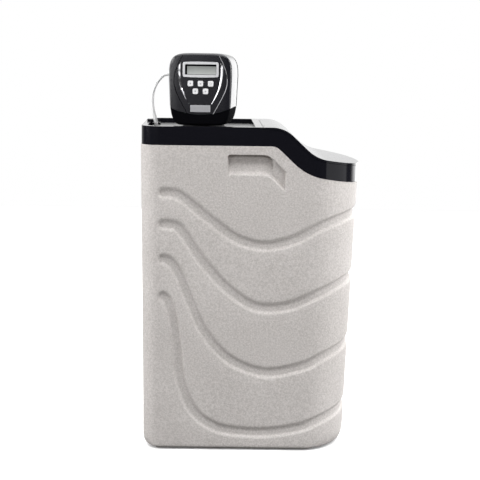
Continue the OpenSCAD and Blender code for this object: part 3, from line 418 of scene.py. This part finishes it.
# Foot: a recess at the floor, a ledge and a rounding, and a larger rounding at both ends
FOOT_RECESS = 14
FOOT_LEDGE = 7
FOOT_ROUND = FOOT_R / 2
FOOT_TURN = np.linspace(0, math.pi / 2, 6)
FOOT_INSET = np.array([FOOT_RECESS, FOOT_RECESS, FOOT_LEDGE,
                       *(FOOT_ROUND - FOOT_ROUND * np.sin(FOOT_TURN))])
FOOT_HEIGHT = np.array([0, FOOT_ROUND, FOOT_ROUND, *(FOOT_R - FOOT_ROUND * np.cos(FOOT_TURN))])
FOOT_STEPS = np.cumsum(np.hypot(np.diff(FOOT_INSET), np.diff(FOOT_HEIGHT)))
FOOT_ARC = FOOT_STEPS[-1]
FOOT_RISE = np.array([0, *FOOT_STEPS]) - FOOT_ARC
SWEEP_IN = 24
SWEEP_TALL = 30
WALL_RISE = DECK_Z - BAND_H - FOOT_R

# Wall grid: its widest cell, then passes that halve the cells: how near to a groove, up to which rise,
# and how far down a scoop and how far around it
CELL = 7.9
FINER = ((23, 20, SCOOP_TALL, 9), (16, 2, SCOOP_TALL, 6), (0, -FOOT_ARC, 9, 3))

# Inside of the wall, as rings drawn from the rim: inset, share of the rim's height, and rise
INNER = WALL + 6
LIP_ROUND = 1.2
INNER_RINGS = [
    (LIP_ROUND, 1, 0.5), (WALL - LIP_ROUND, 1, 0.5), (WALL, 1, -0.7), (WALL, 1, -14),
    (INNER, 1, -17.5), (INNER, 1, -24),
    *((INNER, share, 0) for share in (0.86, 0.7, 0.55, 0.4, 0.25, 0.12)),
    (INNER, 0, 30), (INNER + 3, 0, 16), (INNER + 15, 0, 6),
]

# The rings bulge behind a scoop: how much nearer to its face, and how far above it the bulge starts
SCOOP_SKIN = 4
SCOOP_OVER = 6

# Slack, in millimetres, in finding the rim's points and the deck's faces, and how level a deck face is
TOP_SLACK = 0.01
DECK_SLACK = 0.5
DECK_LEVEL = 0.9


def ease(t):
    t = np.clip(t, 0, 1)
    return t * t * (3 - 2 * t)


def smooth_line(knots, steps):
    """Points on a smooth curve through knots, with the same number of steps between each two."""
    p = np.array([knots[0], *knots, knots[-1]], float)
    t = np.linspace(0, 1, steps, endpoint=False)[:, None]
    parts = []
    for a, b, c, d in zip(p, p[1:], p[2:], p[3:]):
        parts.append(0.5 * (2 * b + (c - a) * t + (2 * a - 5 * b + 4 * c - d) * t ** 2
                            + (3 * b - a - 3 * c + d) * t ** 3))
    return np.vstack([*parts, p[-1:]])


WAVE_LINES = [np.vstack([line, [[NOSE_S, line[-1][1]]]])
              for line in (smooth_line(knots, WAVE_STEPS) for knots in WAVES)]


def lid_curve(depth):
    """Places along the length and heights of the lid's S curve, at a depth below the lid's face."""
    crest = np.linspace(0, FALL_A, CURVE_STEPS)
    hollow = np.linspace(FALL_A, TAIL_A, CURVE_STEPS)
    fall_x = FALL_X + CREST_R * math.sin(FALL_A)
    fall_z = DECK_Z - CREST_R * (1 - math.cos(FALL_A))
    centre_x = fall_x + FALL_LEN * math.cos(FALL_A) + HOLLOW_R * math.sin(FALL_A)
    centre_z = fall_z - FALL_LEN * math.sin(FALL_A) + HOLLOW_R * math.cos(FALL_A)
    reach = HOLLOW_R + depth
    xs = [REAR_X - OVERRUN, *(FALL_X + (CREST_R - depth) * np.sin(crest)),
          *(centre_x - reach * np.sin(hollow)), TIP_X + OVERRUN]
    last = centre_z - reach * math.cos(TAIL_A) - (xs[-1] - xs[-2]) * math.tan(TAIL_A)
    zs = [DECK_Z - depth, *(DECK_Z - CREST_R + (CREST_R - depth) * np.cos(crest)),
          *(centre_z - reach * np.cos(hollow)), last]
    return xs, zs


def rim_height(x):
    return np.interp(x, *lid_curve(BAND_H + RIM_GAP))


def near_side(s):
    """Distances along the wall, with those past the nose mirrored to the near side."""
    return np.where(s > NOSE_S, 2 * NOSE_S - s, s)


def outline(s):
    """Points and outward directions of the cabinet's plan, at distances s along its wall."""
    near = near_side(s)
    turn = np.where(s > NOSE_S, -1.0, 1.0)
    corner = np.clip((near - FRONT_X) / FRONT_R, 0, CORNER_A)
    bow = np.maximum(near - FRONT_X - FRONT_R * CORNER_A, 0) / BOW_R
    back = np.clip((REAR_S - near) / REAR_R, 0, math.pi / 2)
    rear = np.maximum(REAR_S - near - REAR_R * math.pi / 2, 0)
    angle = corner + bow - back
    nx, ny = np.sin(angle), -np.cos(angle)
    bowed = bow > 0
    radius = np.where(near > FRONT_X, FRONT_R, REAR_R)
    x = np.where(bowed, BOW_X + BOW_R * nx, np.clip(near, REAR_S, FRONT_X) + radius * nx)
    y = np.where(bowed, BOW_R * ny, np.where(near > FRONT_X, FRONT_R - HALF_W + FRONT_R * ny,
                                             REAR_R - HALF_W + REAR_R * ny + rear))
    flat = (near >= REAR_S) & (near <= FRONT_X)
    y = np.where(flat, -HALF_W, y)
    return x, turn * y, nx, turn * ny


def groove_distance(s, z):
    """Distance from each wall point to the nearest groove, and how far up that groove's slope it lies.

    The groove's rear end counts as up, so that it is as steep as the shoulder.
    """
    near = near_side(s)
    best = np.full(near.shape, 1e6)
    above = np.zeros(near.shape)
    for line in WAVE_LINES:
        for number, (a, b) in enumerate(zip(line, line[1:])):
            run = b - a
            t = np.clip(((near - a[0]) * run[0] + (z - a[1]) * run[1]) / (run @ run), 0, 1)
            ds = near - a[0] - t * run[0]
            dz = z - a[1] - t * run[1]
            away = np.hypot(ds, dz)
            closer = away < best
            best = np.where(closer, away, best)
            up = (dz * run[0] - ds * run[1]) / math.hypot(*run)
            if number == 0:
                up = up + np.maximum(-(ds * run[0] + dz * run[1]) / math.hypot(*run), 0)
            above = np.where(closer, up, above)
    return best, np.clip(above / np.maximum(best, 1e-6), -1, 1)


def groove_depth(s, z):
    """Flat channel with a rounded shoulder above and a soft lip below."""
    away, above = groove_distance(s, z)
    bend = np.clip((GROOVE_R + SHOULDER_OUT - away) / SHOULDER_RUN, 0, 1)
    shoulder = 1 - np.sqrt(1 - SHOULDER_STEEP * bend ** 2)
    lip = (LIP_DEEP - LIP_RISE * away) * (1 - ease((away - GROOVE_R + LIP_IN) / LIP_RUN))
    lip = lip + SKIRT_DEEP * (1 - ease((away - GROOVE_R) / SKIRT_RUN))
    share = ease(0.5 + 0.5 * above)
    return GROOVE_DEEP * (share * shoulder + (1 - share) * lip)


def scoop_top(x):
    """Height of the scoop's top edge: a rounded rear corner, a level run, then a bend down to a slope."""
    t = np.clip((x - BEND_X) / BEND_RUN, 0, 1)
    corner = np.clip(SCOOP_ROUND + SCOOP_X[0] - x, 0, SCOOP_ROUND)
    corner = SCOOP_ROUND - np.sqrt(SCOOP_ROUND ** 2 - corner ** 2)
    fall = BEND_RUN * (t ** 3 - t ** 4 / 2) + np.maximum(x - BEND_X - BEND_RUN, 0)
    return DECK_Z - BAND_H - SCOOP_DROP - corner - BEND_SLOPE * fall


def scoop_depth(s, z):
    """Finger scoop: a deep slot under its top edge, then a ramp that runs out at its bottom edge."""
    x = near_side(s)
    below = scoop_top(x) - z
    ledge = ease(below / LEDGE_RUN) * (1 + SLOT_MORE * (1 - ease((below - SLOT_TALL) / SLOT_RUN)))
    ramp = np.clip(RAMP_TOP - RAMP_FALL * below / SCOOP_TALL, 0, 1)
    ramp = ramp * (1 - ease((below - SCOOP_TALL + RAMP_END) / RAMP_RUN))
    ends = ease((x - SCOOP_X[0]) / SCOOP_END) * ease((SCOOP_X[1] - x) / SCOOP_END)
    return SCOOP_DEEP * ledge * ramp * ends


def in_scoop_zone(s, z, tall, margin):
    x = near_side(s)
    below = scoop_top(x) - z
    return ((x > SCOOP_X[0] - margin) & (x < SCOOP_X[1] + margin)
            & (below > -margin) & (below < tall + margin))


def foot_sweep(s, height):
    """Larger rounding of the foot at both ends of the cabinet."""
    nx = outline(s)[2]
    turn = np.clip(1 - height / SWEEP_TALL, 0, 1)
    return SWEEP_IN * ease(np.abs(nx)) * (1 - np.sqrt(1 - turn ** 2))


def wall_rows(s, rise):
    """Height and inset of wall points: the foot below a rise of 0, then the wall up to the rim."""
    x = outline(s)[0]
    foot = np.interp(rise, FOOT_RISE, FOOT_HEIGHT)
    height = np.where(rise < 0, foot, FOOT_R + rise / WALL_RISE * (rim_height(x) - FOOT_R))
    return height, np.interp(rise, FOOT_RISE, FOOT_INSET)


def wall_points(s, height, inset):
    """Places in metres of wall points, with the lean of the moulded cabinet."""
    x, y, nx, ny = outline(s)
    lean = DRAFT * (1 - height / DECK_Z)
    px = x - (inset + lean) * nx
    py = y - (inset + lean) * ny
    px = REAR_X + (px - REAR_X) * (1 - FRONT_LEAN * (1 - height / DECK_Z))
    return np.column_stack([px, py, height]) * MM


def wall_grid():
    """The wall laid flat, distance along it by rise, with finer cells where there is relief."""
    tall = WALL_RISE + FOOT_ARC
    bm = bmesh.new()
    bmesh.ops.create_grid(bm, x_segments=round(AROUND / CELL), y_segments=round(tall / CELL), size=1)
    for v in bm.verts:
        v.co.x = BACK_S + (v.co.x + 1) / 2 * AROUND
        v.co.y = (v.co.y + 1) / 2 * tall - FOOT_ARC
    for reach, foot, scoop, margin in FINER:
        faces = list(bm.faces)
        middle = np.array([f.calc_center_median()[:2] for f in faces])
        s, rise = middle[:, 0], middle[:, 1]
        height = wall_rows(s, rise)[0]
        fine = ((groove_distance(s, height)[0] < reach) | in_scoop_zone(s, height, scoop, margin)
                | (rise < foot))
        edges = dict.fromkeys(e for f, keep in zip(faces, fine) if keep for e in f.edges)
        bmesh.ops.subdivide_edges(bm, edges=list(edges), cuts=1, use_grid_fill=True)
    return bm


def cabinet(finishes):
    bm = wall_grid()
    along = bm.verts.layers.float.new("along")
    flat = np.array([v.co[:2] for v in bm.verts])
    s, rise = flat[:, 0], flat[:, 1]
    height, inset = wall_rows(s, rise)
    for relief in (foot_sweep, groove_depth, scoop_depth):
        inset = inset + relief(s, height)
    for v, place, distance in zip(bm.verts, wall_points(s, height, inset), s):
        v[along] = distance
        v.co = place
    rim = {v for v, at_top in zip(bm.verts, rise > rise.max() - TOP_SLACK) if at_top}
    edges = [e for e in bm.edges if e.verts[0] in rim and e.verts[1] in rim]
    for ring in INNER_RINGS:
        edges = add_ring(bm, edges, along, *ring)
    bmesh.ops.remove_doubles(bm, verts=bm.verts, dist=MERGE)
    bmesh.ops.holes_fill(bm, edges=[e for e in bm.edges if e.is_boundary], sides=0)
    bmesh.ops.recalc_face_normals(bm, faces=bm.faces)
    made = piece("cabinet", bm, finishes["cabinet"], "cabinet", sharp=math.radians(60))
    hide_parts("cabinet_shell")


def add_ring(bm, edges, along, inset, share, rise):
    """The next ring of the wall's inside, which bulges in behind the scoops."""
    made = bmesh.ops.extrude_edge_only(bm, edges=edges)["geom"]
    verts = [g for g in made if isinstance(g, bmesh.types.BMVert)]
    s = np.array([v[along] for v in verts])
    height = share * rim_height(outline(s)[0]) + rise
    deepest = np.maximum(scoop_depth(s, height), scoop_depth(s, height - SCOOP_OVER))
    bulge = np.maximum(deepest - SCOOP_SKIN, 0) if inset >= INNER else 0
    for v, place in zip(verts, wall_points(s, height, inset + bulge)):
        v.co = place
    return [g for g in made if isinstance(g, bmesh.types.BMEdge)]


# Brine tube: a free tube from the refill fitting down through the deck to the brine well

TUBE_D = 9.52
TUBE = [
    (-184.7, 25.8, 880), (-198, 26.8, 880), (-209.5, 27, 877), (-220, 26, 868), (-229.5, 25, 854),
    (-236, 23, 836), (-238, 22, 816), (-236, 21, 796), (-231, 21, 776), (-227, 22, 756), (-224, 28, 736),
    (-216, 42, 718), (-203, 64, 705), (-184, 88, 698), (-160, 108, 694), (-130, 121, 692), (-96, 127, 690),
    (-60, 127, 688), (-26, 122, 685), (6, 113, 682), (36, 103, 679), (60, 94.5, 673), (76, 90.8, 660),
    (82, 90, 643), (82, 90, 628),
]
TUBE_STEPS = 6
TUBE_RESOLUTION = 5


def brine_tube(finishes):
    route = [Vector(p) * MM for p in smooth_line(TUBE, TUBE_STEPS)]
    curve = bpy.data.curves.new("brine_tube_run", "CURVE")
    curve.dimensions = "3D"
    curve.bevel_depth = TUBE_D / 2 * MM
    curve.bevel_resolution = TUBE_RESOLUTION
    curve.use_fill_caps = True
    spline = curve.splines.new("POLY")
    spline.points.add(len(route) - 1)
    for point, place in zip(spline.points, route):
        point.co = (*place, 1)
    spline.use_smooth = True
    curve.materials.append(finishes["tube"])
    made = bpy.data.objects.new("brine_tube_run", curve)
    scene.collection.objects.link(made)
    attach(made, "cabinet")
    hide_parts("brine_tube")


# Control head: its own frame, turned on the tank, in millimetres

TANK_X = -112
HEAD_TURN = math.radians(4.5)
HEAD_FRONT = 100
HEAD_Z = DECK_Z + 1
LCD_Z = HEAD_Z + 125.5
MATT_Y = -32

# Wings of the fascia: where they start, how they fall back, and how deep into the cover the bend reaches
WING_X = 52
WING_BEND = 330
WING_CUTS = range(WING_X, 82, 4)
WING_DEEP_Y = -55

# Trim on the fascia's right half, across and up: both edges of the shield's rim, and the line outside it
RIM_OUT = [(45, 141.5), (49.5, 136), (51, 127), (50.6, 114), (48.6, 98), (44.5, 82.5), (37.4, 67), (31, 55),
           (26.2, 46.8)]
RIM_IN = [(44.6, 140.5), (46.4, 134.5), (46.2, 127), (45.9, 108), (43.4, 93), (40.6, 80.5), (35.3, 68),
          (29.4, 55.5), (24.8, 47.5)]
LINE = [(43.3, 157), (52.5, 139), (59.6, 120), (62.4, 101), (60.2, 83), (53.2, 65.5), (42.5, 45), (30.7, 24)]
TRIM_STEPS = 6

# How far the rim's rails lie back from the face, how wide its outer slope is, and how fast its ends taper
RIM_FOOT = 0.85
RIM_TOP = 0.1
RIM_SKIRT = 0.12
RIM_SLOPE = 2.4
RIM_TAPER = 6
LINE_PROFILE = [(-1.8, 0.75), (-1.7, 0.12), (-0.1, -0.5), (0.2, 0.15)]

# Each half of the trim: its side, the rim's lift, the inset of the rim's foot, and the line's finish. The
# right line's chrome is a painted highlight and the left line's matt black a painted shade
TRIM_HALVES = {"left": (-1, 1.1, 1.1, "housing"), "right": (1, 0.15, 0, "bevel")}

# Black frame of painted shadow on the display: its thickness and where it lies in the head's frame
SHADOW_FRAME_THICK = 0.3
SHADOW_FRAME_Y = -HEAD_FRONT + 1.55
MARK_Y = -HEAD_FRONT - 2.25
MARK_THICK = 0.12


def head_point(x, y, z):
    """Place in metres of a point of the control head."""
    return Vector((TANK_X + x * math.cos(HEAD_TURN) + y * math.sin(HEAD_TURN),
                   y * math.cos(HEAD_TURN) - x * math.sin(HEAD_TURN), z)) * MM


def fascia_bow(x):
    """How far the fascia's wings fall back beside its flat middle."""
    return np.maximum(np.abs(x) - WING_X, 0) ** 2 / WING_BEND


def fascia_point(x, back, z):
    """Place in metres of a point that lies back from the fascia's bowed face."""
    return head_point(x, back - HEAD_FRONT + fascia_bow(x), HEAD_Z + z)


def bow_wings(bm):
    """Cut the cover into upright strips, then bend its front back at both sides."""
    across = (head_point(1, 0, 0) - head_point(0, 0, 0)).normalized()
    for x in WING_CUTS:
        for side in (-1, 1):
            slice_through(bm, head_point(side * x, 0, 0), across)
    for v in bm.verts:
        away = v.co / MM - Vector((TANK_X, 0, 0))
        x = away.x * math.cos(HEAD_TURN) - away.y * math.sin(HEAD_TURN)
        y = away.x * math.sin(HEAD_TURN) + away.y * math.cos(HEAD_TURN)
        fall = fascia_bow(x) * ease((WING_DEEP_Y - y) / (HEAD_FRONT + WING_DEEP_Y))
        v.co = head_point(x, y + fall, away.z)


def ribbon(name, rails, finish, body):
    """A strip of faces through rails, each rail a list of places, that faces the front."""
    bm = bmesh.new()
    across, along = len(rails) - 1, len(rails[0]) - 1
    bmesh.ops.create_grid(bm, x_segments=along, y_segments=across, size=1)
    for v in bm.verts:
        v.co = rails[round((v.co.y + 1) / 2 * across)][round((v.co.x + 1) / 2 * along)]
    bmesh.ops.recalc_face_normals(bm, faces=bm.faces)
    if sum((f.normal * f.calc_area() for f in bm.faces), Vector()).y > 0:
        bmesh.ops.reverse_faces(bm, faces=bm.faces)
    piece(name, bm, finish, body, sharp=math.radians(50))


def fascia_trim(finishes):
    body = body_of_node["front_cover"]
    outer, inner, line = (smooth_line(knots, TRIM_STEPS) for knots in (RIM_OUT, RIM_IN, LINE))
    count = len(outer)
    rise = np.minimum(np.linspace(0, RIM_TAPER, count), np.linspace(RIM_TAPER, 0, count)).clip(0, 1)
    # Painted highlight: the rims are chrome. Painted shade: the left line is matt black
    for word, (side, lift, inset, line_finish) in TRIM_HALVES.items():
        rails = [
            [fascia_point(side * (x + inset), RIM_FOOT, z) for x, z in inner],
            [fascia_point(side * x, RIM_TOP - lift * r, z) for (x, z), r in zip(outer, rise)],
            [fascia_point(side * (x + RIM_SLOPE * r), RIM_SKIRT, z + r) for (x, z), r in zip(outer, rise)],
        ]
        ribbon("shield_rim_" + word, rails, finishes["bevel"], body)
        rails = [[fascia_point(side * (x + dx), dy, z) for x, z in line] for dx, dy in LINE_PROFILE]
        ribbon("fascia_line_" + word, rails, finishes[line_finish], body)


def display_shadow_frame(finishes):
    """Black frame laid on the display as painted shadow, wider at its top and left, where the bezel's shade
    falls.
    """
    half_w, half_h = 36.2, 11.7
    left, top, right, foot = 4.6, 4, 0.9, 0.7
    bars = [(-half_w, -half_h, left - half_w, half_h), (half_w - right, -half_h, half_w, half_h),
            (-half_w, half_h - top, half_w, half_h), (-half_w, -half_h, half_w, foot - half_h)]
    bm = bmesh.new()
    for x0, z0, x1, z1 in bars:
        for v in bmesh.ops.create_cube(bm, size=1)["verts"]:
            v.co = head_point((x0 + x1) / 2 + v.co.x * (x1 - x0), v.co.y * SHADOW_FRAME_THICK + SHADOW_FRAME_Y,
                              LCD_Z + (z0 + z1) / 2 + v.co.z * (z1 - z0))
    # Painted shadow: a black frame over the display's top and left
    piece("display_shadow_frame", bm, finishes["housing"], body_of_node["lcd_screen"])


def button_marks(finishes):
    """Plain printed marks on the buttons: two arrows, a ring, a square and a dot."""
    gap, upper, lower = 23.5, 93.5, 76
    arrow, square, disc = 3, 4, 24
    marks = [(-gap, upper, arrow, 2.9, 0, 0), (0, upper, arrow, 2.9, 180, 0), (gap, upper, disc, 2.7, 0, 0.9),
             (-gap / 2, lower, square, 2.7, 45, 0), (gap / 2, lower, disc, 1.9, 0, 0)]
    for number, (x, z, sides, reach, turn, ring) in enumerate(marks, 1):
        bm = bmesh.new()
        bmesh.ops.create_circle(bm, cap_ends=True, segments=sides, radius=reach)
        if ring:
            bmesh.ops.inset_region(bm, faces=bm.faces, thickness=ring, use_boundary=True)
            bmesh.ops.delete(bm, geom=[f for f in bm.faces if len(f.verts) > 4], context="FACES")
        bmesh.ops.rotate(bm, verts=bm.verts, matrix=Matrix.Rotation(math.radians(turn), 3, "Z"))
        bmesh.ops.solidify(bm, geom=bm.faces, thickness=MARK_THICK)
        for v in bm.verts:
            v.co = head_point(x + v.co.x, MARK_Y - v.co.z, HEAD_Z + z + v.co.y)
        bmesh.ops.recalc_face_normals(bm, faces=bm.faces)
        node = f"button_{number}"
        piece(node + "_mark", bm, finishes["mark"], body_of_node[node])


def dress_nodes(finishes):
    """Every CAD node takes the finish of its slot; shells that show are refined."""
    for name, node in nodes.items():
        node.data.materials.clear()
        node.data.materials.append(finish_of(finishes, name))
    deck = (DECK_Z - DECK_DROP) * MM
    refined("top_cover", finishes["cover"], second=finishes["deck"], picks=lambda face: (
        face.normal.z > DECK_LEVEL and abs(face.calc_center_median().z - deck) < DECK_SLACK * MM))
    rim = head_point(0, MATT_Y, 0)
    rearward = head_point(0, 0, 0) - rim
    refined("front_cover", finishes["fascia"], second=finishes["housing"],
            picks=lambda face: (face.calc_center_median() - rim).dot(rearward) > 0,
            cut=(rim, rearward), shape=bow_wings)
    refined("lower_housing", finishes["housing"], shape=bow_wings)
    for name in ("salt_lid", "lcd_bezel", "nameplate"):
        refined(name, finish_of(finishes, name))
    for number in range(1, 6):
        refined(f"button_{number}", finishes["button"], edge=1.2 * MM, corner=math.radians(60), rounds=3)


# Light and floor. Lamps: name, place, aim, width, height and power, in metres and watts

LAMPS = [
    ("left_panel", (-1.42, -2.27, 1.25), (-0.1, -0.15, 0.9), 2.0, 1.15, 5),
    ("right_panel", (1.69, -0.8, 0.6), (0.2, -0.13, 0.6), 1.96, 0.8, 8.5),
    ("wing_panel", (-1.19, -2.13, 1.22), (-0.15, -0.1, 0.95), 0.75, 0.7, 5.5),
    ("left_softbox", (-2.3, -0.5, 1.42), (0, 0, 0.3), 1.2, 1.6, 38),
    ("right_softbox", (2.2, -0.3, 1.5), (0, 0, 0.35), 1.1, 1.3, 37),
    ("top_softbox", (-0.1, -1.9, 2.6), (0, -0.4, 0), 1.5, 0.8, 10),
]
BACK_LIGHT = 1.15
BACK_RIGHT = 2.2
BACK_LEFT = 0.6
TOP_LIGHT = 2.8
ROOM_LIGHT = 0.08
FLOOR_HALF = 4
PAPER_LIT = (0.24, 0.24, 0.24)
PAPER_SEEN = (0.95, 0.95, 0.95)
PAPER_GLOW = 0.12


def lamp(name, place, aim, width, height, power):
    data = bpy.data.lights.new(name, "AREA")
    data.shape = "RECTANGLE"
    data.size = width
    data.size_y = height
    data.energy = power
    made = bpy.data.objects.new(name, data)
    made.matrix_world = (Matrix.Translation(place)
                         @ (Vector(aim) - Vector(place)).to_track_quat("-Z", "Y").to_matrix().to_4x4())
    scene.collection.objects.link(made)


def light_studio():
    """A room that the camera sees white, and that lights the part from behind and from overhead.

    Each step runs between two values of one part of the direction that a ray leaves in.
    """
    world = Finish("studio", world=True)
    direction = world.value(world.node("ShaderNodeTexCoord"), "Generated")
    split = world.node("ShaderNodeSeparateXYZ", {0: direction})
    behind = world.value(split, "Y").step(0.4, 0.7)
    overhead = world.value(split, "Z").step(0.6, 0.85)
    across = world.value(split, "X")
    right = across.step(0.15, 0.4)
    left = across.step(-0.05, -0.2)
    room = (behind * (right * BACK_RIGHT - left * BACK_LEFT + BACK_LIGHT)
            + overhead * TOP_LIGHT + ROOM_LIGHT)
    path = world.node("ShaderNodeLightPath")
    seen = world.value(path, "Is Camera Ray").larger(world.value(path, "Is Transmission Ray"))
    strength = seen * (1 - room) + room
    sky = world.node("ShaderNodeBackground", {"Color": WHITE, "Strength": strength})
    world.tree.links.new(sky.outputs[0], world.out.inputs[0])
    scene.world = world.block
    for row in LAMPS:
        lamp(*row)


def lay_floor():
    """White paper that the camera sees bright and that throws little light back on the part."""
    finish = Finish("studio_floor")
    seen = finish.value(finish.node("ShaderNodeLightPath"), "Is Camera Ray")
    paper = finish.node("ShaderNodeBsdfDiffuse", {"Color": finish.blend(seen, PAPER_LIT, PAPER_SEEN)})
    glow = finish.node("ShaderNodeEmission", {"Color": WHITE, "Strength": seen * PAPER_GLOW})
    both = finish.node("ShaderNodeAddShader")
    finish.tree.links.new(paper.outputs[0], both.inputs[0])
    finish.tree.links.new(glow.outputs[0], both.inputs[1])
    finish.tree.links.new(both.outputs[0], finish.out.inputs[0])
    bm = bmesh.new()
    bmesh.ops.create_grid(bm, x_segments=1, y_segments=1, size=FLOOR_HALF)
    mesh = bpy.data.meshes.new("studio_floor")
    bm.to_mesh(mesh)
    bm.free()
    mesh.materials.append(finish.block)
    floor = bpy.data.objects.new("studio_floor", mesh)
    scene.collection.objects.link(floor)


scene.view_settings.view_transform = "Standard"
place_camera()
finishes = make_finishes()
dress_nodes(finishes)
cabinet(finishes)
brine_tube(finishes)
fascia_trim(finishes)
display_shadow_frame(finishes)
button_marks(finishes)
light_studio()
lay_floor()
